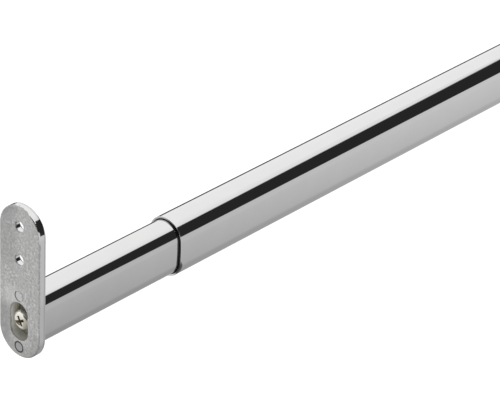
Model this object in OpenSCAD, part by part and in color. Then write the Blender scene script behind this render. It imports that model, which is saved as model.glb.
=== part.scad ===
// Telescopic closet rod: two oval chromed tubes that slide in each other, each closed by a
// die-cast wall bracket that an expanding plug grips inside the tube.
// The rod runs along X from the near bracket's wall face, X = 0, and Z is up.
// The tubes' shared axis is Y = 0, Z = 0.

/* [Tubes] */
// Width of the outer tube, across its flat sides
tube_w = 20; // [17:0.5:23]
// Height of the outer tube
tube_h = 30; // [28:0.5:40]
// Wall of the outer tube
outer_wall = 1; // [0.8:0.1:1.4]
// Wall of the inner tube
inner_wall = 1; // [0.8:0.1:1.4]
// Clearance between the two tubes, on each side
tube_gap = 0.3; // [0.2:0.05:0.5]
// Length of the outer tube
outer_len = 440; // [320:10:1200]
// Rounding of the tubes' cut ends
tube_edge_r = 0.15; // [0.1:0.05:0.35]
// Inner tube that shows between the near bracket and the outer tube
shown_len = 88; // [1:0.5:200]
// Room left in front of the far bracket's screw when the rod is closed
closed_room = 8; // [2:0.5:30]

/* [Bracket plate] */
// Width of the plate
plate_w = 24.6; // [23:0.2:30]
// Height of the plate
plate_h = 75; // [66:0.5:100]
// Thickness of the plate
plate_t = 4.2; // [3:0.1:6]
// How far the plate reaches below the tube
plate_margin = 2.8; // [1.4:0.1:6]
// Rounding of the plate's edges
plate_edge_r = 0.8; // [0.2:0.1:1.2]
// Diameter of the two holes for the wall screws
hole_d = 5.4; // [4:0.1:6]
// Distance between the two holes
hole_pitch = 16.5; // [12:0.5:24]
// Distance from the plate's top to the upper hole
hole_from_top = 9.5; // [7:0.25:14]
// Depth of the holes' countersinks on the room side
sink_deep = 1.4; // [0.6:0.1:2]
// Diameter of the ejector marks on the wall face
mark_d = 5.2; // [3:0.2:6]
// Width of the groove round an ejector mark
mark_groove_w = 0.3; // [0.2:0.05:0.6]
// Depth of the groove round an ejector mark
mark_groove_deep = 0.2; // [0.1:0.05:0.4]
// Distance between an ejector mark and the pocket
mark_gap = 0.9; // [0.5:0.1:1.5]

/* [Bracket pocket and spigot] */
// Width of the pocket round the screw head
pocket_w = 10.6; // [10:0.2:11.5]
// Height of the pocket
pocket_h = 18.8; // [15:0.2:20]
// Depth of the pocket round the screw's seat
pocket_deep = 6; // [4:0.5:7]
// Diameter of the seat that stands in the pocket under the screw head
seat_d = 9.2; // [8:0.1:9.6]
// Rounding of the pocket's mouth
pocket_edge_r = 0.35; // [0.2:0.05:0.6]
// Web that the screw pulls on
web_t = 2.6; // [2:0.2:4]
// Length of the spigot inside the tube
spigot_len = 12; // [10:0.5:16]
// Wall of the spigot behind the web
spigot_wall = 1.8; // [1.4:0.1:2.5]
// Clearance between the spigot and the tube, on each side
spigot_gap = 0.15; // [0.1:0.05:0.3]
// Lead-in at the spigot's tip
spigot_lead = 0.8; // [0.4:0.1:1.2]

/* [Clamping screw] */
// Diameter of the screw's shank
screw_d = 4.9; // [4:0.1:5.2]
// Length of the screw under its head
screw_len = 30; // [28:1:40]
// Diameter of the pan head
head_d = 9.6; // [9:0.1:10]
// Height of the pan head
head_h = 3.3; // [2.8:0.1:3.6]
// Rounding of the pan head
head_r = 2.1; // [1.2:0.1:2.4]
// How far the head stays below the wall face
head_below = 0.5; // [0.1:0.1:0.6]
// Clearance of the screw in the bracket and the plug, on each side
screw_gap = 0.35; // [0.2:0.05:0.5]
// Distance across the cross recess
cross_d = 5.4; // [4:0.2:5.4]
// Width of the cross recess's arms
cross_w = 1.3; // [0.8:0.1:1.5]
// Depth of the cross recess
cross_deep = 2.3; // [1.4:0.1:2.4]
// How far the cross recess's floor is wider than an arm, on each side
cross_floor = 0.2; // [0.1:0.05:0.4]
// Turn of the cross recess as the screw was left
cross_turn = 61; // [0:1:89]
// Length of the cone at the screw's tip
screw_point = 1; // [0.5:0.1:1.5]

/* [Expanding plug] */
// Length of the plug
plug_len = 15; // [14:0.5:16]
// Clearance between the plug and the tube, on each side
plug_gap = 0.1; // [0.05:0.05:0.2]
// Width of the slit that lets the plug spread
slit_w = 1.6; // [1.2:0.1:2.4]
// Length of the solid foot that the slit stops at
plug_foot = 3; // [2:0.5:4]
// Length of the cone nut
nut_len = 8; // [6:0.5:9]
// Diameter of the cone nut at its large end
nut_d = 11.2; // [10:0.1:11.6]
// Diameter of the cone nut at its small end
nut_small_d = 8.8; // [8:0.1:9.4]
// How far the cone nut stands out of the plug
nut_out = 1; // [0.5:0.25:2]
// Clearance round the cone nut, on each side
nut_gap = 0.1; // [0.05:0.05:0.2]
// Running clearance of the screw in the nut's thread, on each side
thread_gap = 0.05; // [0.03:0.01:0.1]
// How far the nut's keys reach past its small end
key_out = 1.6; // [1.4:0.1:2]

/* [Glide] */
// Length of the glide inside the inner tube
glide_len = 12; // [8:0.5:20]
// Thickness of the glide's collar
glide_collar = 2.5; // [1.5:0.5:4]
// Wall of the glide
glide_wall = 1.6; // [1.2:0.1:2]
// Clearance between the glide and the inner tube, on each side
glide_fit = 0.1; // [0.05:0.05:0.2]
// Clearance between the glide's collar and the outer tube, on each side
glide_gap = 0.2; // [0.15:0.05:0.25]

/* [Hidden] */
$fn = 64;
cut = 0.5; // how far a cutting shape runs past the face that it opens

// Both tubes' bores, and the inner tube's outside
outer_bore_w = tube_w - 2 * outer_wall;
outer_bore_h = tube_h - 2 * outer_wall;
inner_w = outer_bore_w - 2 * tube_gap;
inner_h = outer_bore_h - 2 * tube_gap;
inner_bore_w = inner_w - 2 * inner_wall;
inner_bore_h = inner_h - 2 * inner_wall;

// Depths from a bracket's wall face, towards the rod
seat_x = head_below + head_h;
spigot_end = plate_t + spigot_len;
plug_end = spigot_end + plug_len;
nut_end = plug_end + nut_out;
screw_tip = seat_x + screw_len;

// The inner tube stops short of the far bracket's screw when the rod is closed
inner_len = outer_len - (screw_tip - plate_t) - glide_collar - closed_room;
mouth_x = plate_t + shown_len;
rod_len = mouth_x + outer_len + plate_t;

// Heights on a plate, from the tubes' axis
plate_low = -tube_h / 2 - plate_margin;
plate_top = plate_low + plate_h;
plate_mid = plate_low + plate_h / 2;
hole_top_z = plate_top - hole_from_top;
mark_z = pocket_h / 2 + mark_gap + mark_d / 2;

chrome = "silver";
zinc = "gainsboro";
steel = "lightgoldenrodyellow";
nylon = "dimgray";

// Turns a shape that stands on XY so that its Z runs along the rod and its Y points up
module along_rod() {
    rotate([90, 0, 90]) children();
}

// Puts a shape of the near bracket at the far end of the rod as well
module far_end() {
    translate([rod_len, 0, 0]) mirror([1, 0, 0]) children();
}

// An oval with half-round ends, its height along Y
module oval(w, h) {
    for (side = [-1, 1]) translate([0, side * (h - w) / 2]) circle(d = w);
    square([w, h - w], center = true);
}

module oval_block(w, h, from, to) {
    translate([0, 0, from]) linear_extrude(height = to - from) oval(w, h);
}

// A rectangle with its low corner at the origin and round corners of one radius
module soft_rectangle(size, r) {
    for (x = [r, size[0] - r], y = [r, size[1] - r]) translate([x, y]) circle(r = r);
    translate([r, 0]) square([size[0] - 2 * r, size[1]]);
    translate([0, r]) square([size[0], size[1] - 2 * r]);
}

// Carries a wall's cross-section round an oval; the section's X is 0 at the oval's outside
module round_oval(w, h) {
    for (turn = [0, 180]) rotate([0, 0, turn]) {
        translate([0, (h - w) / 2, 0]) rotate_extrude(angle = 180) translate([w / 2, 0]) children();
        rotate([90, 0, 0]) linear_extrude(height = h - w, center = true) translate([w / 2, 0]) children();
    }
}

// A straight oval tube with rounded cut ends
module tube(w, h, wall, from, len) {
    along_rod() translate([0, 0, from]) round_oval(w, h)
        translate([-wall, 0]) soft_rectangle([wall, len], tube_edge_r);
}

// An oval plate with round edges, standing on XY: a rounded rim round a plain core
module soft_plate(w, h, t, r) {
    rim = 3 * r;
    oval_block(w - 2 * rim + r, h - 2 * rim + r, 0, t);
    round_oval(w, h) {
        translate([-rim, 0]) square([rim - r, t]);
        translate([-2 * r, r]) square([2 * r, t - 2 * r]);
        for (y = [r, t - r]) translate([-r, y]) circle(r = r);
    }
}

// The rounded mouth of an oval pocket, cut outwards from the pocket's wall at Z = 0
module pocket_mouth(w, h, r) {
    round_oval(w + 2 * r, h + 2 * r) difference() {
        translate([-r - cut, -cut]) square([r + cut, r + cut]);
        translate([0, r]) circle(r = r);
    }
}

// A hole for a wall screw, countersunk at 90 degrees from the room side
module wall_hole(z) {
    translate([0, z, -cut]) cylinder(d = hole_d, h = plate_t + 2 * cut);
    translate([0, z, plate_t - sink_deep])
        cylinder(d1 = hole_d, d2 = hole_d + 2 * (sink_deep + cut), h = sink_deep + cut);
}

module ejector_mark(z) {
    translate([0, z, -cut]) difference() {
        cylinder(d = mark_d, h = cut + mark_groove_deep);
        translate([0, 0, -cut]) cylinder(d = mark_d - 2 * mark_groove_w, h = 3 * cut);
    }
}

// The plate's pocket, with a round seat in the middle for the screw
module screw_pocket() {
    difference() {
        oval_block(pocket_w, pocket_h, -cut, pocket_deep);
        translate([0, 0, seat_x]) cylinder(d = seat_d, h = pocket_deep);
    }
    pocket_mouth(pocket_w, pocket_h, pocket_edge_r);
}

// The spigot that locates the tube, with a tapered tip round a plain core
module spigot(bore_w, bore_h) {
    w = bore_w - 2 * spigot_gap;
    h = bore_h - 2 * spigot_gap;
    root = plate_t / 2;
    rise = spigot_end - root;
    skin = 2 * spigot_lead;
    oval_block(w - skin, h - skin, root, spigot_end);
    translate([0, 0, root]) round_oval(w, h) polygon([
        [-skin, 0], [0, 0], [0, rise - spigot_lead], [-spigot_lead, rise], [-skin, rise]]);
}

// A wall bracket for a tube of the given bore, its wall face at X = 0
module bracket(bore_w, bore_h) {
    core_w = bore_w - 2 * spigot_gap - 2 * spigot_wall;
    core_h = bore_h - 2 * spigot_gap - 2 * spigot_wall;
    along_rod() difference() {
        union() {
            translate([0, plate_mid, 0]) soft_plate(plate_w, plate_h, plate_t, plate_edge_r);
            spigot(bore_w, bore_h);
        }
        screw_pocket();
        oval_block(core_w, core_h, pocket_deep + web_t, spigot_end + cut);
        cylinder(d = screw_d + 2 * screw_gap, h = spigot_end);
        for (z = [hole_top_z, hole_top_z - hole_pitch]) wall_hole(z);
        for (z = [-mark_z, mark_z]) ejector_mark(z);
    }
}

module pan_head() {
    rotate_extrude() intersection() {
        union() {
            square([head_d / 2 - head_r, head_h]);
            translate([0, head_r]) square([head_d / 2, head_h - head_r]);
            translate([head_d / 2 - head_r, head_r]) circle(r = head_r);
        }
        square([head_d / 2, head_h]);
    }
}

module cross_recess() {
    rotate([0, 0, cross_turn]) intersection() {
        union() {
            cube([cross_d, cross_w, 4 * cross_deep], center = true);
            cube([cross_w, cross_d, 4 * cross_deep], center = true);
        }
        translate([0, 0, -cut])
            cylinder(r1 = cross_d / 2 + cut / 2, r2 = cross_w / 2 + cross_floor, h = cross_deep + cut);
    }
}

// The clamping screw, its head in the pocket and its tip through the nut
module clamp_screw() {
    point_x = screw_tip - screw_point;
    along_rod() difference() {
        union() {
            translate([0, 0, head_below]) pan_head();
            translate([0, 0, seat_x - cut]) cylinder(d = screw_d, h = point_x - seat_x + cut);
            translate([0, 0, point_x]) cylinder(d1 = screw_d, d2 = screw_d - screw_point, h = screw_point);
        }
        translate([0, 0, head_below]) cross_recess();
    }
}

// The cone that the nut has at a depth from its large end, widened by a clearance
module nut_cone(gap, past) {
    slope = (nut_d - nut_small_d) / nut_len;
    translate([0, 0, nut_end - nut_len]) cylinder(
        d1 = nut_small_d + 2 * gap, d2 = nut_d + 2 * gap + slope * past, h = nut_len + past);
}

// The plastic plug that the cone nut spreads against the tube
module plug(bore_w, bore_h) {
    color(nylon) along_rod() difference() {
        oval_block(bore_w - 2 * plug_gap, bore_h - 2 * plug_gap, spigot_end, plug_end);
        cylinder(d = screw_d + 2 * screw_gap, h = plug_end);
        nut_cone(nut_gap, 0);
        translate([-slit_w / 2, -bore_h, spigot_end + plug_foot])
            cube([slit_w, 2 * bore_h, plug_len]);
    }
}

// The cone nut, with two keys in the plug's slit that stop it from turning
module nut() {
    key_t = slit_w - 2 * nut_gap;
    color(steel) along_rod() difference() {
        union() {
            nut_cone(0, 0);
            translate([-key_t / 2, -nut_small_d / 2 - key_out, nut_end - nut_len])
                cube([key_t, nut_small_d + 2 * key_out, nut_len]);
        }
        cylinder(d = screw_d + 2 * thread_gap, h = nut_end + cut);
    }
}

module outer_tube() {
    color(chrome) tube(tube_w, tube_h, outer_wall, mouth_x, outer_len);
}

module inner_tube() {
    color(chrome) tube(inner_w, inner_h, inner_wall, plate_t, inner_len);
}

module inner_end_bracket() {
    color(zinc) bracket(inner_bore_w, inner_bore_h);
}

module outer_end_bracket() {
    color(zinc) far_end() bracket(outer_bore_w, outer_bore_h);
}

module inner_end_screw() {
    color(steel) clamp_screw();
}

module outer_end_screw() {
    color(steel) far_end() clamp_screw();
}

module inner_end_plug() {
    plug(inner_bore_w, inner_bore_h);
}

module outer_end_plug() {
    far_end() plug(outer_bore_w, outer_bore_h);
}

module inner_end_nut() {
    nut();
}

module outer_end_nut() {
    far_end() nut();
}

// The plastic glide in the inner tube's hidden end, which keeps the tubes from rattling
module tube_glide() {
    skirt_w = inner_bore_w - 2 * glide_fit;
    skirt_h = inner_bore_h - 2 * glide_fit;
    tube_end = plate_t + inner_len;
    color(nylon) along_rod() difference() {
        union() {
            oval_block(skirt_w, skirt_h, tube_end - glide_len, tube_end + glide_collar);
            oval_block(outer_bore_w - 2 * glide_gap, outer_bore_h - 2 * glide_gap,
                       tube_end, tube_end + glide_collar);
        }
        oval_block(skirt_w - 2 * glide_wall, skirt_h - 2 * glide_wall,
                   tube_end - glide_len - cut, tube_end + glide_collar + cut);
    }
}

outer_tube();
inner_tube();
inner_end_bracket();
outer_end_bracket();
inner_end_screw();
outer_end_screw();
inner_end_plug();
outer_end_plug();
inner_end_nut();
outer_end_nut();
tube_glide();
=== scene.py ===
"""Looks of a telescopic closet rod, dressed around its packed construction.

Two oval chromed tubes slide in each other, and a die-cast bracket with a clamping screw closes each
end. Lengths are in metres in the part's own frame: X runs along the rod from the near bracket's
wall face, Z is up, and the tubes' shared axis is Y = 0, Z = 0. The photograph's left on a wall face
is towards +Y. Tones are linear.
"""

from __future__ import annotations

import logging
import math
from collections.abc import Mapping
from dataclasses import dataclass, field
from enum import Enum

import bpy
from mathutils import Matrix, Vector

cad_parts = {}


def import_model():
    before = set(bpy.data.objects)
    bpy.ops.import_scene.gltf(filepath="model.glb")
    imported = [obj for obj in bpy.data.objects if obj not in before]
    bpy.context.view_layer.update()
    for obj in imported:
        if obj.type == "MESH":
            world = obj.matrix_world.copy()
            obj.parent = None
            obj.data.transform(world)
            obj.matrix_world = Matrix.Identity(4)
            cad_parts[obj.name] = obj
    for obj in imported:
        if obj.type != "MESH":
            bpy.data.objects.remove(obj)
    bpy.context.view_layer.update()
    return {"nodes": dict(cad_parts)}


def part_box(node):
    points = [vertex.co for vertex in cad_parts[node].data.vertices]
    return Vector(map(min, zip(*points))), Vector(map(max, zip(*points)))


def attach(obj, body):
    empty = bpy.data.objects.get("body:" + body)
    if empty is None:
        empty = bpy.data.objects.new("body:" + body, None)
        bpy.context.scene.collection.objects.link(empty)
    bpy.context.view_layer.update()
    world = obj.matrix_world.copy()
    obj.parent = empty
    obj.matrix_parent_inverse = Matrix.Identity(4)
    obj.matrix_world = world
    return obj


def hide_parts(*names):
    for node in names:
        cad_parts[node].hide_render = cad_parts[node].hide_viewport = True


LOG = logging.getLogger("closet_rod")
MM = 0.001

Colour = tuple[float, float, float, float]
# Where a soft edge starts, and where it is whole.
Span = tuple[float, float]
# Two limits, and how far each edge is spread on both sides of its limit.
Band = tuple[float, float, float]
# A span, and the numbers before and after it.
Ramp = tuple[float, float, float, float]
# How many grains of a noise there are in a metre, and how many finer layers it has.
Grain = tuple[float, float]

# The part of a noise's range over which its blotches come in.
BLOTCHY: Span = (0.3, 0.7)


class Body(Enum):
    """The bodies that slide along each other."""

    INNER = "inner"
    OUTER = "outer"


class End(Enum):
    """The rod's ends, as the names of their pieces begin."""

    NEAR = "inner_end"
    FAR = "outer_end"


class Skin(Enum):
    """A tube's surfaces, by the place of their finish among its mesh's materials."""

    PLATE = 0
    SAWN = 1
    BORE = 2


def grey(level: float, warmth: float = 0.0) -> Colour:
    """Gives a linear grey, with a little more red and less blue where warmth is above 0."""
    return (level * (1 + warmth), level, level * (1 - warmth), 1.0)


class Value:
    """A number that varies in a shader. Each operator on it adds one Math node."""

    def __init__(self, graph: Graph, socket: bpy.types.NodeSocket) -> None:
        """Wraps a node's output.

        Args:
            graph: The graph that the socket's node belongs to.
            socket: The output that gives the number.
        """
        self.graph = graph
        self.socket = socket

    def __add__(self, other: Value | float) -> Value:
        """Adds a value or a number."""
        return self.graph.math("ADD", self, other)

    def __radd__(self, other: float) -> Value:
        """Adds to a number."""
        return self.graph.math("ADD", other, self)

    def __sub__(self, other: Value | float) -> Value:
        """Takes a value or a number away."""
        return self.graph.math("SUBTRACT", self, other)

    def __rsub__(self, other: float) -> Value:
        """Takes the value away from a number."""
        return self.graph.math("SUBTRACT", other, self)

    def __mul__(self, other: Value | float) -> Value:
        """Multiplies by a value or a number."""
        return self.graph.math("MULTIPLY", self, other)

    def __rmul__(self, other: float) -> Value:
        """Multiplies a number."""
        return self.graph.math("MULTIPLY", other, self)

    def power(self, exponent: float) -> Value:
        """Raises to a power."""
        return self.graph.math("POWER", self, exponent)

    def at_least(self, other: Value | float) -> Value:
        """Gives the larger of two values."""
        return self.graph.math("MAXIMUM", self, other)

    def at_most(self, other: Value | float) -> Value:
        """Gives the smaller of two values."""
        return self.graph.math("MINIMUM", self, other)

    def across(self, other: Value) -> Value:
        """Gives the straight distance that two values at right angles make."""
        return (self * self + other * other).power(0.5)

    def size(self) -> Value:
        """Drops the sign."""
        return self.graph.math("ABSOLUTE", self, 0.0)

    def remap(self, low: float, high: float, first: float = 0.0, last: float = 1.0) -> Value:
        """Goes smoothly from one number to another while the value crosses a range.

        Args:
            low: Where the change starts.
            high: Where it ends, which may lie below low.
            first: The result before the range.
            last: The result after it.

        Returns:
            The new value, held at its ends outside the range.
        """
        node = self.graph.add(
            "ShaderNodeMapRange",
            {"interpolation_type": "SMOOTHSTEP"},
            {"Value": self, "From Min": low, "From Max": high, "To Min": first, "To Max": last},
        )
        return Value(self.graph, node.outputs["Result"])

    def inside(self, low: float, high: float, soft: float) -> Value:
        """Gives 1 between two limits and 0 outside them.

        Args:
            low: The lower limit.
            high: The upper limit.
            soft: How far each edge is spread on both sides of its limit.

        Returns:
            The mask.
        """
        return self.remap(low - soft, low + soft) * self.remap(high - soft, high + soft, 1.0, 0.0)


class Graph:
    """The nodes of one material or of the world."""

    # A Mix node has its two colours at these places among its inputs, and the result at this output.
    MIX_COLOURS = (6, 7)
    MIX_RESULT = 2

    def __init__(self, tree: bpy.types.NodeTree) -> None:
        """Empties a node tree and takes it over."""
        self.tree = tree
        tree.nodes.clear()

    def add(
        self,
        kind: str,
        settings: Mapping[str, object] | None = None,
        inputs: Mapping[str | int, object] | None = None,
    ) -> bpy.types.Node:
        """Adds one node of any type.

        Args:
            kind: Blender's name of the node's type.
            settings: The node's properties, which are set before its sockets.
            inputs: What each socket gets, by its name or place: a Value, an output or a constant.

        Returns:
            The new node.
        """
        node = self.tree.nodes.new(kind)
        for name, setting in (settings or {}).items():
            setattr(node, name, setting)
        for key, given in (inputs or {}).items():
            if isinstance(given, Value):
                given = given.socket
            if isinstance(given, bpy.types.NodeSocket):
                self.tree.links.new(given, node.inputs[key])
            else:
                node.inputs[key].default_value = given
        return node

    def math(self, operation: str, first: Value | float, second: Value | float) -> Value:
        """Adds a Math node on two values."""
        node = self.add("ShaderNodeMath", {"operation": operation}, {0: first, 1: second})
        return Value(self, node.outputs[0])

    def mix(self, factor: Value | float, first: object, second: object) -> bpy.types.NodeSocket:
        """Mixes two colours, of which either may be an output.

        Args:
            factor: 0 gives the first colour and 1 the second.
            first: The first colour.
            second: The second colour.

        Returns:
            The output with the mixed colour.
        """
        places = dict(zip(self.MIX_COLOURS, (first, second)))
        node = self.add("ShaderNodeMix", {"data_type": "RGBA"}, {0: factor, **places})
        return node.outputs[self.MIX_RESULT]

    def split(self, vector: bpy.types.NodeSocket) -> tuple[Value, Value, Value]:
        """Splits a vector.

        Args:
            vector: The output that gives the vector.

        Returns:
            Its X, Y and Z.
        """
        node = self.add("ShaderNodeSeparateXYZ", inputs={0: vector})
        x, y, z = (Value(self, output) for output in node.outputs)
        return x, y, z

    def place(self) -> bpy.types.NodeSocket:
        """Gives the point on the object, in metres, which moves with the object."""
        return self.add("ShaderNodeTexCoord").outputs["Object"]

    def drawn(self, vector: bpy.types.NodeSocket, along: float) -> bpy.types.NodeSocket:
        """Scales a vector along the rod, which draws a noise out there where along is below 1."""
        node = self.add("ShaderNodeVectorMath", {"operation": "MULTIPLY"}, {0: vector, 1: (along, 1.0, 1.0)})
        return node.outputs[0]

    def noise(self, vector: bpy.types.NodeSocket, scale: float, detail: float) -> Value:
        """Gives soft noise round 0.5.

        Args:
            vector: Where the noise is read.
            scale: How many grains there are in a metre.
            detail: How many finer layers are added.

        Returns:
            The noise, from 0 to 1.
        """
        node = self.add("ShaderNodeTexNoise", inputs={"Vector": vector, "Scale": scale, "Detail": detail})
        return Value(self, node.outputs["Fac"])

    def bump(self, height: Value, distance: float) -> bpy.types.NodeSocket:
        """Turns a height into a normal, where 1 stands for a distance in metres."""
        node = self.add("ShaderNodeBump", inputs={"Height": height, "Distance": distance, "Strength": 1.0})
        return node.outputs["Normal"]


@dataclass(frozen=True)
class Patch:
    """A soft-edged patch at one side and height of a surface across the rod."""

    side: Span
    rise: Span
    strength: float = 1.0

    def mask(self, y: Value, z: Value) -> Value:
        """Gives the strength inside the patch and 0 outside it."""
        return y.remap(*self.side) * z.remap(*self.rise) * self.strength


class Finish:
    """What every finish shares: it makes its own material, once."""

    name: str

    def dress(self, graph: Graph) -> Mapping[str, object]:
        """Gives what feeds the shader's sockets, by their names."""
        raise NotImplementedError

    def material(self) -> bpy.types.Material:
        """Makes the material where it isn't there yet.

        Returns:
            The material.
        """
        made = bpy.data.materials.get(self.name)
        if made is not None:
            return made
        made = bpy.data.materials.new(self.name)
        made.use_nodes = True
        graph = Graph(made.node_tree)
        shader = graph.add("ShaderNodeBsdfPrincipled", inputs=self.dress(graph))
        graph.add("ShaderNodeOutputMaterial", inputs={"Surface": shader.outputs[0]})
        return made


@dataclass(frozen=True)
class TubeChrome(Finish):
    """Bright chrome plate on a drawn steel tube."""

    name: str = "bright_tube_chrome"
    plate: Colour = grey(0.80, 0.003)
    cloudy: Colour = grey(0.788)
    clouds: Grain = (90, 3)
    cloud_edge: Span = (0.35, 0.7)
    lines: Grain = (2600, 3)
    line_draw: float = 0.02
    line_height: float = 0.4e-6
    line_rough: Ramp = (0.4, 0.8, 0.0, 0.03)
    waves: Grain = (60, 0)
    wave_draw: float = 0.35
    wave_height: float = 6e-6
    polish: float = 0.035

    def dress(self, graph: Graph) -> Mapping[str, object]:
        """Lays fine draw lines along the tube, with faint clouds in the plate.

        Args:
            graph: The material's nodes.

        Returns:
            What feeds the shader's sockets, by their names.
        """
        place = graph.place()
        lines = graph.noise(graph.drawn(place, self.line_draw), *self.lines)
        waves = graph.noise(graph.drawn(place, self.wave_draw), *self.waves)
        clouds = graph.noise(place, *self.clouds).remap(*self.cloud_edge)
        return {
            "Base Color": graph.mix(clouds, self.cloudy, self.plate),
            "Metallic": 1.0,
            "Roughness": self.polish + lines.remap(*self.line_rough),
            "Normal": graph.bump(lines * self.line_height + waves * self.wave_height, 1.0),
        }


@dataclass(frozen=True)
class MouthShadeChrome(TubeChrome):
    """The outer tube's chrome, with painted shade on it along the foot of its mouth."""

    name: str = "tube_chrome_mouth_shade"
    mouth_x: float = 0.0
    # The tone of the painted shade beside the mouth.
    mouth_shade: Colour = grey(0.15)
    mouth_shade_reach: Ramp = (-2 * MM, -7 * MM, 0.0, 1.5 * MM)
    mouth_shade_edge: Span = (0.2 * MM, -0.4 * MM)
    mouth_shade_place: Patch = Patch((-2 * MM, -5 * MM), (-2.5 * MM, -6 * MM))

    def dress(self, graph: Graph) -> Mapping[str, object]:
        """Paints shade on the plate next to the mouth, from the oval's lower half down.

        Args:
            graph: The material's nodes.

        Returns:
            What feeds the shader's sockets, by their names.
        """
        fed = dict(super().dress(graph))
        x, y, z = graph.split(graph.place())
        # Painted shade: the chrome goes dark beside the mouth's foot on the near side, reaching further from
        # the mouth lower down.
        reach = x - self.mouth_x - z.remap(*self.mouth_shade_reach)
        mouth_shaded = reach.remap(*self.mouth_shade_edge) * self.mouth_shade_place.mask(y, z)
        fed["Base Color"] = graph.mix(mouth_shaded, fed["Base Color"], self.mouth_shade)
        return fed


@dataclass(frozen=True)
class ShadedBoreSteel(Finish):
    """Bare steel in the bore, which the plate doesn't reach, near black as painted shade inside the tube."""

    name: str = "bore_steel_painted_shade"
    # Both tones are near black: painted shade in the gap between the tubes.
    dark: Colour = grey(0.05)
    pale: Colour = grey(0.10, 0.02)
    blotches: Grain = (1400, 3)
    blotch_rough: float = 0.15
    blotch_height: float = 6e-6
    polish: float = 0.30

    def dress(self, graph: Graph) -> Mapping[str, object]:
        """Darkens the steel in fine blotches.

        Args:
            graph: The material's nodes.

        Returns:
            What feeds the shader's sockets, by their names.
        """
        blotches = graph.noise(graph.place(), *self.blotches)
        return {
            "Base Color": graph.mix(blotches.remap(*BLOTCHY), self.dark, self.pale),
            "Metallic": 1.0,
            "Roughness": self.polish + blotches * self.blotch_rough,
            "Normal": graph.bump(blotches, self.blotch_height),
        }


@dataclass(frozen=True)
class SawnEnd(ShadedBoreSteel):
    """The tube's sawn end: near black as painted shade, with a faint painted highlight on its far upper
    quarter and a bright painted reflection at its foot.
    """

    name: str = "sawn_end_painted_shade_and_light"
    pale: Colour = grey(0.09, 0.02)
    polish: float = 0.12
    # A painted highlight on the far upper quarter, and a painted reflection on the foot.
    top: Patch = Patch((-4 * MM, 1 * MM), (6 * MM, 9 * MM))
    top_highlight_tone: Colour = grey(0.50)
    foot: Span = (-10.5 * MM, -13 * MM)
    foot_reflection_tone: Colour = grey(0.80)

    def dress(self, graph: Graph) -> Mapping[str, object]:
        """Paints a faint highlight on the end's far upper quarter, and a brighter reflection on its foot.

        Args:
            graph: The material's nodes.

        Returns:
            What feeds the shader's sockets, by their names.
        """
        fed = dict(super().dress(graph))
        _, y, z = graph.split(graph.place())
        # Painted highlight on the far upper quarter, then a painted reflection on the foot.
        tone = graph.mix(self.top.mask(y, z), fed["Base Color"], self.top_highlight_tone)
        fed["Base Color"] = graph.mix(z.remap(*self.foot), tone, self.foot_reflection_tone)
        return fed


@dataclass(frozen=True)
class WallFace:
    """The casting's dull and blotchy wall face."""

    dark: Colour = grey(0.427, 0.004)
    pale: Colour = grey(0.793, 0.008)
    mottle: Grain = (900, 4)
    blotch: Colour = grey(0.488, 0.008)
    blotches: Grain = (420, 2)
    blotch_share: Ramp = (0.60, 0.35, 0.0, 0.6)
    cloud: Colour = grey(0.5734, 0.010)
    clouds: Grain = (110, 2)
    cloud_share: Ramp = (0.35, 0.65, 0.0, 0.4)
    shade: Colour = grey(0.305)
    shade_most: float = 0.6
    upper_left: Patch = Patch((0.0, 5 * MM), (22 * MM, 32 * MM), 0.30)
    lower_left: Ramp = (4 * MM, 8 * MM, 0.0, 0.50)
    lower_shade_rise: Band = (-12 * MM, 6 * MM, 3 * MM)
    crown: Patch = Patch((-2 * MM, 1 * MM), (48 * MM, 52 * MM), 0.25)
    crown_z: float = 44.9 * MM
    crown_edge: Span = (8.5 * MM, 11 * MM)
    foot: Ramp = (-9 * MM, -13 * MM, 0.0, 0.24)
    foot_right: Patch = Patch((-5 * MM, -9 * MM), (0.0, -6 * MM), 0.26)
    pale_rise: Band = (7 * MM, 16 * MM, 3 * MM)
    pale_right: Span = (-5 * MM, 0.0)
    pale_left: Ramp = (10.5 * MM, 7 * MM, 0.0, 0.5)

    def tone(self, graph: Graph, y: Value, z: Value) -> bpy.types.NodeSocket:
        """Mottles the face, paints shade on its left, at its crown and at its foot, and paints light on a
        patch just above the pocket.

        Args:
            graph: The material's nodes.
            y: The place across the face.
            z: The place up it.

        Returns:
            The output with the face's grey.
        """
        place = graph.place()
        mottle = graph.noise(place, *self.mottle).remap(*BLOTCHY)
        blotches = graph.noise(place, *self.blotches).remap(*self.blotch_share)
        clouds = graph.noise(place, *self.clouds).remap(*self.cloud_share)
        tone = graph.mix(mottle, self.dark, self.pale)
        tone = graph.mix(blotches, tone, self.blotch)
        tone = graph.mix(clouds, tone, self.cloud)
        # Painted shade on the left, at the crown and at the foot.
        lower = y.remap(*self.lower_left) * z.inside(*self.lower_shade_rise)
        crown = y.across(z - self.crown_z).remap(*self.crown_edge) * self.crown.mask(y, z)
        foot = z.remap(*self.foot) + self.foot_right.mask(y, z)
        shade = (self.upper_left.mask(y, z) + lower + crown + foot).at_most(self.shade_most)
        tone = graph.mix(shade, tone, self.shade)
        # Painted light: a paler patch just above the pocket.
        pale = z.inside(*self.pale_rise) * y.remap(*self.pale_right) * y.remap(*self.pale_left)
        return graph.mix(pale, tone, self.pale)


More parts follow.
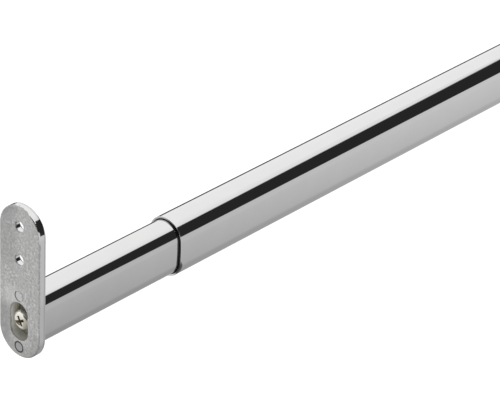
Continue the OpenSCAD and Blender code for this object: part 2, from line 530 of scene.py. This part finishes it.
@dataclass(frozen=True)
class Pocket:
    """The casting's oval pocket for the clamping screw, with painted shade along its left edge and a painted
    highlight on its right lip.
    """

    radius: float = 5.65 * MM
    half_rise: float = 4.1 * MM
    soft: float = 0.4 * MM
    satin: Colour = grey(0.96, 0.02)
    olive: Colour = (0.78, 0.78, 0.68, 1.0)
    olive_depth: Span = (0.8 * MM, 4.5 * MM)
    # Painted light on the pocket's top.
    upper: Colour = (0.95, 0.95, 0.85, 1.0)
    upper_light_rise: Ramp = (3 * MM, 8 * MM, 0.0, 0.5)
    # Painted shade on the pocket's bottom.
    lower: Colour = (0.50, 0.51, 0.45, 1.0)
    lower_shade_rise: Ramp = (-3 * MM, -8 * MM, 0.0, 0.6)
    # Painted shade on the pocket's deep floor.
    floor: Colour = (0.40, 0.40, 0.35, 1.0)
    floor_shade_depth: Span = (4.8 * MM, 5.6 * MM)
    rim_soft: float = 0.1 * MM
    # Painted shade along the mouth's left edge.
    edge_shade_tone: Colour = grey(0.10)
    edge_width: float = 0.25 * MM
    edge_left: Ramp = (2 * MM, 4 * MM, 0.0, 0.45)
    # Painted highlight on the mouth's right lip.
    lip_highlight_tone: Colour = grey(0.90, 0.01)
    lip_width: float = 0.9 * MM
    lip_right: Span = (-2 * MM, -3.5 * MM)
    lip_rise: Band = (-2.5 * MM, 10 * MM, 1 * MM)
    lip_depth: Ramp = (0.9 * MM, 0.6 * MM, 0.0, 0.8)

    def reach(self, y: Value, z: Value) -> Value:
        """Gives the distance from the pocket's upright middle line."""
        return y.across((z.size() - self.half_rise).at_least(0.0))

    def within(self, y: Value, z: Value, width: float) -> Value:
        """Gives the mask of a line of some width along the inside of the pocket's mouth."""
        return self.reach(y, z).inside(self.radius - width, self.radius, self.rim_soft)

    def mask(self, y: Value, z: Value) -> Value:
        """Gives 1 in the pocket and 0 round it."""
        return self.reach(y, z).remap(self.radius, self.radius - self.soft)

    def edge(self, y: Value, z: Value) -> Value:
        """Gives the mask of the painted shade line along the mouth's left."""
        return self.within(y, z, self.edge_width) * y.remap(*self.edge_left)

    def lip(self, depth: Value, y: Value, z: Value) -> Value:
        """Gives the mask of the painted highlight along the mouth's right lip."""
        lip = self.within(y, z, self.lip_width) * y.remap(*self.lip_right)
        return lip * z.inside(*self.lip_rise) * depth.remap(*self.lip_depth)

    def tone(self, graph: Graph, depth: Value, z: Value) -> bpy.types.NodeSocket:
        """Gives the pocket's satin grey, which turns olive with its depth, with painted light at its top,
        painted shade at its bottom and painted shade on its deep floor.

        Args:
            graph: The material's nodes.
            depth: The depth below the wall face.
            z: The place up the face.

        Returns:
            The output with the pocket's tone.
        """
        tone = graph.mix(depth.remap(*self.olive_depth), self.satin, self.olive)
        # Painted light on the top, painted shade on the bottom, then painted shade on the deep floor.
        tone = graph.mix(z.remap(*self.upper_light_rise), tone, self.upper)
        tone = graph.mix(z.remap(*self.lower_shade_rise), tone, self.lower)
        return graph.mix(depth.remap(*self.floor_shade_depth), tone, self.floor)


@dataclass(frozen=True)
class EjectorMarks:
    """The round marks that the mould's ejector pins left above and below the pocket."""

    radius: float = 2.45 * MM
    height: float = 12.9 * MM
    line: float = 0.36 * MM
    line_soft: float = 0.15 * MM
    # The tone of the painted shade in the ring lines.
    groove_shade: Colour = grey(0.06)
    low_groove_shade: float = 0.9
    high_groove_shade: Ramp = (-0.8 * MM, 1.5 * MM, 0.12, 0.6)
    high_fade: Span = (2.2 * MM, 1.2 * MM)
    disc: Colour = grey(0.42)
    disc_share: float = 0.6

    def ring(self, y: Value, rise: Value) -> Value:
        """Gives the line round a mark, where rise is the height from its middle."""
        return y.across(rise).inside(self.radius - self.line, self.radius + self.line, self.line_soft)

    def lower_disc(self, y: Value, z: Value) -> Value:
        """Gives the mask of the disc inside the lower mark's line."""
        return y.across(z + self.height).remap(self.radius, self.radius - self.line) * self.disc_share

    def painted_shade(self, y: Value, z: Value) -> Value:
        """Gives the mask of the painted shade in the lines, strong in the lower one and faint in the upper.

        Args:
            y: The place across the face.
            z: The place up it.

        Returns:
            The mask.
        """
        rise = z - self.height
        high = self.ring(y, rise) * y.remap(*self.high_groove_shade) * rise.remap(*self.high_fade)
        return self.ring(y, z + self.height) * self.low_groove_shade + high


@dataclass(frozen=True)
class PlatedCasting(Finish):
    """Die-cast zinc: bright plate on the rim, a dull wall face and a satin pocket."""

    rod_len: float
    name: str = "plated_casting"
    face: WallFace = WallFace()
    pocket: Pocket = Pocket()
    marks: EjectorMarks = EjectorMarks()
    draft: float = math.radians(2.0)
    rim: Colour = grey(0.80)
    rim_dull: Colour = grey(0.45)
    rim_line: Band = (2.75 * MM, 3.5 * MM, 0.15 * MM)
    rim_line_share: float = 0.45
    rim_foot: Ramp = (18 * MM, 9 * MM, 0.0, 0.25)
    face_edge: Span = (0.25 * MM, 0.05 * MM)
    face_least: Span = (0.24 * MM, 0.16 * MM)
    wander: Grain = (700, 1)
    wander_depth: float = 0.9 * MM
    wear: Grain = (650, 2)
    wear_from: float = 0.47
    wear_depth: Ramp = (44 * MM, 48 * MM, 0.0, 3 * MM)
    bright_corner: Patch = Patch((-4 * MM, -6 * MM), (43 * MM, 46 * MM), 0.75 * MM)
    mark_depth: Span = (1.0 * MM, 0.5 * MM)
    grain: Grain = (3200, 2)
    face_height: float = 22e-6
    rim_height_share: float = 0.03
    rim_rough: float = 0.06
    face_rough: float = 0.36
    mottle_rough: float = 0.14
    pocket_rough: float = 0.26
    pocket_dull: float = 0.6

    def dull_face(self, graph: Graph, depth: Value, y: Value, z: Value) -> Value:
        """Gives the mask of the dull face, whose edge wanders and is worn along the plate's top.

        Args:
            graph: The material's nodes.
            depth: The depth below the wall face.
            y: The place across the face.
            z: The place up it.

        Returns:
            The mask.
        """
        place = graph.place()
        worn = (graph.noise(place, *self.wear) - self.wear_from).at_least(0.0) * z.remap(*self.wear_depth)
        reach = graph.noise(place, *self.wander) * self.wander_depth + worn
        dull = (depth + self.bright_corner.mask(y, z) - reach).remap(*self.face_edge)
        return dull.at_least(depth.remap(*self.face_least))

    def dress(self, graph: Graph) -> Mapping[str, object]:
        """Lays the finishes by their depth from the wall face and their place on it.

        Args:
            graph: The material's nodes.

        Returns:
            What feeds the shader's sockets, by their names.
        """
        place = graph.place()
        x, y, z = graph.split(place)
        depth = x.at_most(self.rod_len - x)
        face = self.dull_face(graph, depth, y, z)
        pocket = self.pocket.mask(y, z) * (1 - face)
        shallow = depth.remap(*self.mark_depth)
        # The rim goes darker along a line near its room side and towards its foot.
        rim_dull = depth.inside(*self.rim_line) * self.rim_line_share + z.remap(*self.rim_foot)
        metal = graph.mix(rim_dull, self.rim, self.rim_dull)
        metal = graph.mix(face, metal, self.face.tone(graph, y, z))
        metal = graph.mix(pocket, metal, self.pocket.tone(graph, depth, z))
        metal = graph.mix(self.marks.lower_disc(y, z) * face, metal, self.marks.disc)
        # Painted highlight along the pocket's right lip, then painted shade along its left edge.
        metal = graph.mix(self.pocket.lip(depth, y, z), metal, self.pocket.lip_highlight_tone)
        metal = graph.mix(self.pocket.edge(y, z) * shallow, metal, self.pocket.edge_shade_tone)
        # Painted shade in the ejector marks' ring lines.
        metal = graph.mix(self.marks.painted_shade(y, z) * shallow, metal, self.marks.groove_shade)
        mottle = graph.noise(place, *self.face.mottle)
        grain = graph.noise(place, *self.grain)
        height = (mottle + grain) * 0.5 * (self.rim_height_share + face * (1 - self.rim_height_share))
        slope = depth * math.tan(self.draft) * (1 - pocket)
        rough = self.rim_rough + face * (self.face_rough + mottle * self.mottle_rough)
        return {
            "Base Color": metal,
            "Metallic": 1.0 - pocket * self.pocket_dull,
            "Roughness": rough + pocket * self.pocket_rough,
            "Normal": graph.bump(height * self.face_height + slope, 1.0),
        }


@dataclass(frozen=True)
class ScrewZinc(Finish):
    """Slightly yellow zinc plate on steel, with painted shade in the cross recess, beside its lower left
    arm, on the head's right and on its upper right shoulder.
    """

    rod_len: float
    name: str = "screw_zinc"
    plate: Colour = (0.93, 0.91, 0.85, 1.0)
    speck: Colour = (0.87, 0.84, 0.76, 1.0)
    specks: Grain = (1800, 3)
    speck_height: float = 4e-6
    # Painted shade on the head's right flank.
    flank_shade: Colour = (0.51, 0.48, 0.41, 1.0)
    flank_shade_patch: Patch = Patch((-1.3 * MM, -2.4 * MM), (2.8 * MM, 1.6 * MM))
    # Painted shade on the head's upper right shoulder.
    shoulder_shade: Colour = (0.26, 0.25, 0.22, 1.0)
    shoulder_shade_edge: Span = (3.95 * MM, 4.35 * MM)
    shoulder_shade_rise: Span = (2.0 * MM, 2.6 * MM)
    shoulder_shade_side: Span = (0.1 * MM, -0.7 * MM)
    shoulder_shade_lean: float = 0.6
    # Painted shade in the cross recess and beside its lower left arm.
    recess_shade_dark: Colour = (0.09, 0.07, 0.035, 1.0)
    recess_shade_pale: Colour = (0.28, 0.24, 0.16, 1.0)
    recess_shade_specks: Span = (0.35, 0.65)
    recess_edge: Span = (2.85 * MM, 2.65 * MM)
    recess_depth: Band = (0.65 * MM, 3.2 * MM, 0.12 * MM)
    arm_shade_y: float = 1.45 * MM
    arm_shade_z: float = -1.40 * MM
    arm_shade_turn: float = math.radians(20.0)
    arm_shade_half: float = 0.95 * MM
    arm_shade_edge: Span = (0.75 * MM, 0.45 * MM)
    arm_shade_depth: Span = (1.5 * MM, 1.0 * MM)
    polish: float = 0.15
    speck_rough: float = 0.10
    painted_shade_rough: float = 0.25
    recess_shade_dull: float = 0.6
    shoulder_shade_dull: float = 0.4

    def arm_shade(self, depth: Value, y: Value, z: Value) -> Value:
        """Gives the mask of the painted shade beside the recess's lower left arm.

        Args:
            depth: The depth below the wall face.
            y: The place across the head.
            z: The place up it.

        Returns:
            The mask, a short bar with round ends.
        """
        side, rise = y - self.arm_shade_y, z - self.arm_shade_z
        along = side * math.cos(self.arm_shade_turn) + rise * math.sin(self.arm_shade_turn)
        over = rise * math.cos(self.arm_shade_turn) - side * math.sin(self.arm_shade_turn)
        reach = (along.size() - self.arm_shade_half).at_least(0.0).across(over)
        return reach.remap(*self.arm_shade_edge) * depth.remap(*self.arm_shade_depth)

    def dress(self, graph: Graph) -> Mapping[str, object]:
        """Speckles the plate, and paints shade on the head's right, in its recess and on its upper right
        shoulder.

        Args:
            graph: The material's nodes.

        Returns:
            What feeds the shader's sockets, by their names.
        """
        place = graph.place()
        x, y, z = graph.split(place)
        depth = x.at_most(self.rod_len - x)
        radius = y.across(z)
        # Painted shade in the cross recess and beside its lower left arm.
        recess = radius.remap(*self.recess_edge) * depth.inside(*self.recess_depth)
        recess_shaded = recess.at_least(self.arm_shade(depth, y, z))
        # Painted shade on the head's upper right shoulder.
        shoulder_shaded = radius.remap(*self.shoulder_shade_edge) * z.remap(*self.shoulder_shade_rise)
        shoulder_shaded = shoulder_shaded * (y - depth * self.shoulder_shade_lean).remap(*self.shoulder_shade_side)
        specks = graph.noise(place, *self.specks)
        plate = graph.mix(specks.remap(*BLOTCHY), self.speck, self.plate)
        # Painted shade on the head's right flank, then on its upper right shoulder.
        plate = graph.mix(self.flank_shade_patch.mask(y, z), plate, self.flank_shade)
        plate = graph.mix(shoulder_shaded, plate, self.shoulder_shade)
        recess_shade = graph.mix(specks.remap(*self.recess_shade_specks), self.recess_shade_dark, self.recess_shade_pale)
        painted_shade = (recess_shaded + shoulder_shaded).at_most(1.0)
        return {
            "Base Color": graph.mix(recess_shaded, plate, recess_shade),
            "Metallic": 1.0 - recess_shaded * self.recess_shade_dull - shoulder_shaded * self.shoulder_shade_dull,
            "Roughness": self.polish + specks * self.speck_rough + painted_shade * self.painted_shade_rough,
            "Normal": graph.bump(specks, self.speck_height),
        }


@dataclass(frozen=True)
class Nylon(Finish):
    """Moulded dark nylon."""

    name: str = "dark_nylon"
    dark: Colour = grey(0.022)
    pale: Colour = grey(0.035)
    grain: Grain = (2200, 2)
    grain_rough: float = 0.15
    grain_height: float = 12e-6
    polish: float = 0.45

    def dress(self, graph: Graph) -> Mapping[str, object]:
        """Gives the plastic its fine spark-eroded texture.

        Args:
            graph: The material's nodes.

        Returns:
            What feeds the shader's sockets, by their names.
        """
        grain = graph.noise(graph.place(), *self.grain)
        return {
            "Base Color": graph.mix(grain, self.dark, self.pale),
            "Roughness": self.polish + grain * self.grain_rough,
            "Normal": graph.bump(grain, self.grain_height),
        }


CHROME = TubeChrome()
SAWN_END = SawnEnd()
BORE_SHADE_STEEL = ShadedBoreSteel()
NYLON = Nylon()


@dataclass(frozen=True)
class OvalSection:
    """An oval of four arcs: round ends, and sides that bulge by a small angle."""

    width: float
    height: float
    bulge: float
    end_steps: int = 64
    side_steps: int = 12

    def points(self) -> list[tuple[Vector, Vector]]:
        """Walks once round the oval from its +Y side.

        Returns:
            The oval's points, each with its outward normal.
        """
        half_w, half_h = self.width / 2, self.height / 2
        lean = math.tan(self.bulge / 2)
        end_r = (half_w - half_h * lean) / (1 - lean)
        side_r = end_r + (half_h - end_r) / math.sin(self.bulge)
        shift = side_r - half_w
        arcs = (
            (-self.bulge, self.bulge, (-shift, 0.0), side_r, self.side_steps),
            (self.bulge, math.pi - self.bulge, (0.0, half_h - end_r), end_r, self.end_steps),
            (math.pi - self.bulge, math.pi + self.bulge, (shift, 0.0), side_r, self.side_steps),
            (math.pi + self.bulge, 2 * math.pi - self.bulge, (0.0, end_r - half_h), end_r, self.end_steps),
        )
        found = []
        for start, end, (y, z), radius, steps in arcs:
            for step in range(steps):
                turn = start + (end - start) * step / steps
                normal = Vector((0.0, math.cos(turn), math.sin(turn)))
                found.append((Vector((0.0, y, z)) + radius * normal, normal))
        return found


@dataclass
class Tube:
    """An oval tube that stands for a tube of the construction, with true round ends and mouths."""

    node: str
    body: Body
    chrome: TubeChrome = CHROME
    wall: float = 1.0 * MM
    lip: float = 0.15 * MM
    bulge: float = math.radians(3.0)
    lip_steps: int = 5
    height_digits: int = 4
    low: Vector = field(init=False)
    high: Vector = field(init=False)

    def __post_init__(self) -> None:
        """Takes the tube's place from the frame."""
        self.low, self.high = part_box(self.node)

    def wall_outline(self) -> list[tuple[float, float, float, float]]:
        """Walks once round the wall's section, from the far end's outer lip inwards.

        Returns:
            Each point's place along X and inset from outside, then its normal along X and outwards.
        """
        start, end = self.low.x, self.high.x
        corners = (
            (end - self.lip, self.lip, 90.0),
            (end - self.lip, self.wall - self.lip, 0.0),
            (start + self.lip, self.wall - self.lip, -90.0),
            (start + self.lip, self.lip, -180.0),
        )
        found = []
        for x, inset, first in corners:
            for step in range(self.lip_steps + 1):
                turn = math.radians(first - 90.0 * step / self.lip_steps)
                along, out = math.cos(turn), math.sin(turn)
                found.append((x + self.lip * along, inset - self.lip * out, along, out))
        return found

    def skin(self, ring: int) -> Skin:
        """Tells which finish lies between two rings of points.

        Args:
            ring: The first ring's place in the wall's outline.

        Returns:
            The surface that the faces there belong to.
        """
        far_end, near_end = self.lip_steps, 3 * self.lip_steps + 2
        if ring in (far_end, near_end):
            return Skin.SAWN
        return Skin.BORE if far_end < ring < near_end else Skin.PLATE

    def build(self) -> bpy.types.Object:
        """Makes the tube's mesh with exact normals.

        Returns:
            The tube, which replaces its node.
        """
        # The construction's facets cut the oval's top short, and its true half height is in whole 0.1 mm.
        height = 2 * round(self.high.z, self.height_digits)
        around = OvalSection(self.high.y - self.low.y, height, self.bulge).points()
        across = self.wall_outline()
        verts, normals, faces, skins = [], [], [], []
        for x, inset, along, out in across:
            for point, normal in around:
                verts.append(point - inset * normal + Vector((x, 0.0, 0.0)))
                normals.append(out * normal + Vector((along, 0.0, 0.0)))
        count = len(around)
        for ring in range(len(across)):
            after = (ring + 1) % len(across)
            for step in range(count):
                following = (step + 1) % count
                faces.append((ring * count + step, ring * count + following,
                              after * count + following, after * count + step))
                skins.append(self.skin(ring).value)
        mesh = bpy.data.meshes.new(self.node + "_shell")
        mesh.from_pydata(verts, [], faces)
        mesh.update()
        first = mesh.polygons[0]
        if first.normal.dot(normals[first.vertices[0]]) < 0:
            mesh.flip_normals()
        mesh.polygons.foreach_set("use_smooth", [True] * len(mesh.polygons))
        mesh.polygons.foreach_set("material_index", skins)
        mesh.normals_split_custom_set_from_vertices(normals)
        # The sawn ends carry painted shade and painted light, and the bore carries painted shade.
        finishes = {Skin.PLATE: self.chrome, Skin.SAWN: SAWN_END, Skin.BORE: BORE_SHADE_STEEL}
        for skin in Skin:
            mesh.materials.append(finishes[skin].material())
        shell = bpy.data.objects.new(self.node + "_shell", mesh)
        bpy.context.scene.collection.objects.link(shell)
        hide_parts(self.node)
        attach(shell, self.body.value)
        return shell


def paint(node: bpy.types.Object, finish: Finish) -> None:
    """Gives a piece of the construction a finish, in all its material slots.

    Args:
        node: The piece.
        finish: Its finish.
    """
    for slot in node.material_slots:
        slot.material = finish.material()
    LOG.info("%s is finished in %s", node.name, finish.name)


@dataclass(frozen=True)
class PhotoCamera:
    """The photograph's camera, in millimetres, degrees and pixels of a 500 by 400 frame."""

    yaw: float = 40.238
    pitch: float = 29.572
    roll: float = -2.981
    focal: float = 2611.6
    range_mm: float = 1131.3
    origin_x: float = 19.04
    origin_y: float = 321.75
    frame_w: float = 500.0
    frame_h: float = 400.0
    sensor_mm: float = 36.0
    clip_m: Span = (0.01, 50.0)

    def make(self) -> None:
        """Places the camera so that the rod's origin falls on its pixel."""
        yaw, pitch, roll = (math.radians(turn) for turn in (self.yaw, self.pitch, self.roll))
        ahead = Vector((math.cos(pitch) * math.cos(yaw), math.cos(pitch) * math.sin(yaw), -math.sin(pitch)))
        level = ahead.cross(Vector((0.0, 0.0, 1.0))).normalized()
        below = ahead.cross(level)
        right = math.cos(roll) * level + math.sin(roll) * below
        down = math.cos(roll) * below - math.sin(roll) * level
        across = (self.origin_x - self.frame_w / 2) / self.focal
        under = (self.origin_y - self.frame_h / 2) / self.focal
        data = bpy.data.cameras.new("photo_camera")
        data.sensor_width = self.sensor_mm
        data.lens = self.focal * self.sensor_mm / self.frame_w
        data.clip_start, data.clip_end = self.clip_m
        camera = bpy.data.objects.new("photo_camera", data)
        turn = Matrix((right, -down, -ahead)).transposed().to_4x4()
        spot = -self.range_mm * MM * (ahead + across * right + under * down)
        camera.matrix_world = Matrix.Translation(spot) @ turn
        bpy.context.scene.collection.objects.link(camera)
        bpy.context.scene.camera = camera


@dataclass(frozen=True)
class Studio:
    """White walls and a pale floor, with a dark card and a dark strip that the chrome shows as bands.

    They are painted by direction, whose parts run from -1 to 1: +X to the rod's far end, -Y to its
    near side and +Z up. The card stands along the near side and round past the near bracket. The
    strip lies low on the far side.
    """

    floor_z: float = -0.45
    floor_size: float = 14.0
    floor_tone: Colour = grey(0.82)
    floor_lift: float = 0.35
    plain_light: Ramp = (-0.25, 0.25, 0.62, 0.95)
    horizon: Span = (-0.02, 0.01)
    near_side: Span = (-0.04, -0.09)
    near_shade: Ramp = (0.62, 0.80, 0.13, 0.0)
    floor_down: Ramp = (-0.30, -0.85, 0.63, 0.41)
    floor_along: Ramp = (0.55, 0.78, 0.82, 1.10)
    floor_nearer: Ramp = (0.59, 0.565, 0.0, 0.25)
    floor_behind: Span = (-0.1, -0.4)
    floor_across: Ramp = (-0.2, 0.2, 0.14, 0.45)
    floor_near: Ramp = (-0.56, -0.30, 1.0, 0.945)
    dark_level: float = 0.022
    card_behind: Span = (-0.80, -0.88)
    card_behind_side: Span = (0.24, 0.18)
    card_foot: Ramp = (0.61, 0.65, 0.06, 0.0)
    card_drop: Ramp = (0.585, 0.565, 0.0, 0.25)
    card_drop_from: Span = (0.38, 0.48)
    card_raise: Ramp = (-0.30, -0.45, 0.0, 0.12)
    card_top: Ramp = (0.625, 0.655, 1.0, 0.0)
    strip_side: Span = (0.40, 0.45)
    strip_rise: Band = (-0.42, -0.02, 0.02)
    strip_along: Span = (0.45, 0.55)
    strip_share: float = 0.93

    def floor_level(self, x: Value, y: Value, z: Value) -> Value:
        """Gives the floor that the chrome sees, darker straight down.

        Args:
            x: The direction's part along the rod.
            y: Its part across the rod.
            z: Its part up.

        Returns:
            The floor's brightness.
        """
        slope = x.remap(*self.floor_along) + x.remap(*self.floor_nearer)
        behind = x.remap(*self.floor_behind) * y.remap(*self.floor_across)
        return z.remap(*self.floor_down) * (slope + behind) * y.remap(*self.floor_near)

    def seen_level(self, x: Value, y: Value, z: Value) -> Value:
        """Gives the studio that the chrome sees: floor, walls, and the card and the strip on them.

        Args:
            x: The direction's part along the rod.
            y: Its part across the rod.
            z: Its part up.

        Returns:
            The studio's brightness.
        """
        near = y.remap(*self.near_side)
        card_side = near.at_least(x.remap(*self.card_behind) * y.remap(*self.card_behind_side))
        foot = x.remap(*self.card_foot) - x.remap(*self.card_drop) * x.remap(*self.card_drop_from)
        above = (z - card_side * foot).remap(*self.horizon)
        floor = self.floor_level(x, y, z)
        wall = 1 - near * z.remap(*self.near_shade)
        seen = floor + above * (wall - floor)
        card = card_side * above * (z - x.remap(*self.card_raise)).remap(*self.card_top)
        strip = y.remap(*self.strip_side) * z.inside(*self.strip_rise) * x.remap(*self.strip_along)
        for mask, share in ((card, 1.0), (strip, self.strip_share)):
            seen = seen * (1 - mask * share) + mask * self.dark_level
        return seen

    def make_world(self) -> None:
        """Paints the studio round the object: white behind it, and plain light on what is dull."""
        world = bpy.data.worlds.new("studio")
        bpy.context.scene.world = world
        world.use_nodes = True
        graph = Graph(world.node_tree)
        x, y, z = graph.split(graph.add("ShaderNodeTexCoord").outputs["Generated"])
        path = graph.add("ShaderNodeLightPath")
        diffuse = Value(graph, path.outputs["Is Diffuse Ray"])
        camera = Value(graph, path.outputs["Is Camera Ray"])
        level = self.seen_level(x, y, z) * (1 - diffuse) + z.remap(*self.plain_light) * diffuse
        level = level * (1 - camera) + camera
        shader = graph.add("ShaderNodeBackground", inputs={"Color": grey(1.0), "Strength": level})
        graph.add("ShaderNodeOutputWorld", inputs={"Surface": shader.outputs[0]})

    def make_floor(self) -> None:
        """Lays the pale floor, which the chrome sees through to the studio's own floor tone."""
        half = self.floor_size / 2
        mesh = bpy.data.meshes.new("studio_floor")
        corners = ((-half, -half), (half, -half), (half, half), (-half, half))
        mesh.from_pydata([Vector((x, y, self.floor_z)) for x, y in corners], [], [(0, 1, 2, 3)])
        floor = bpy.data.objects.new("studio_floor", mesh)
        bpy.context.scene.collection.objects.link(floor)
        floor.visible_glossy = False
        made = bpy.data.materials.new("pale_floor")
        made.use_nodes = True
        graph = Graph(made.node_tree)
        camera = Value(graph, graph.add("ShaderNodeLightPath").outputs["Is Camera Ray"])
        matt = graph.add("ShaderNodeBsdfDiffuse", inputs={"Color": self.floor_tone})
        lift = graph.add("ShaderNodeEmission", inputs={"Strength": camera * self.floor_lift})
        both = graph.add("ShaderNodeAddShader", inputs={0: matt.outputs[0], 1: lift.outputs[0]})
        graph.add("ShaderNodeOutputMaterial", inputs={"Surface": both.outputs[0]})
        mesh.materials.append(made)


@dataclass(frozen=True)
class ClampedEnd:
    """One end of the rod: a bracket, whose screw pulls a cone nut into the plug in the tube."""

    end: End
    casting: PlatedCasting
    zinc: ScrewZinc

    def dress(self, nodes: Mapping[str, bpy.types.Object]) -> None:
        """Gives the end's pieces their finishes.

        Args:
            nodes: The construction's pieces, by their names.
        """
        finishes = {"bracket": self.casting, "screw": self.zinc, "nut": self.zinc, "plug": NYLON}
        for piece, finish in finishes.items():
            paint(nodes[self.end.value + "_" + piece], finish)


@dataclass(frozen=True)
class ClosetRod:
    """The whole rod."""

    nodes: Mapping[str, bpy.types.Object]

    def build(self) -> None:
        """Builds and dresses every piece in order."""
        # The outer tube's chrome carries painted shade beside its mouth.
        mouth_shaded = MouthShadeChrome(mouth_x=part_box("outer_tube")[0].x)
        for tube in (Tube("outer_tube", Body.OUTER, mouth_shaded), Tube("inner_tube", Body.INNER)):
            shell = tube.build()
            LOG.info("%s has %d faces", shell.name, len(shell.data.polygons))
        rod_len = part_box("outer_end_bracket")[1].x
        casting, zinc = PlatedCasting(rod_len), ScrewZinc(rod_len)
        for end in End:
            ClampedEnd(end, casting, zinc).dress(self.nodes)
        paint(self.nodes["tube_glide"], NYLON)


def main() -> None:
    """Loads the frame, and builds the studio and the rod."""
    logging.basicConfig(level=logging.INFO, format="%(name)s: %(message)s")
    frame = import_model()
    bpy.context.scene.view_settings.view_transform = "Standard"
    PhotoCamera().make()
    studio = Studio()
    studio.make_world()
    studio.make_floor()
    ClosetRod(frame["nodes"]).build()


if __name__ == "__main__":
    main()
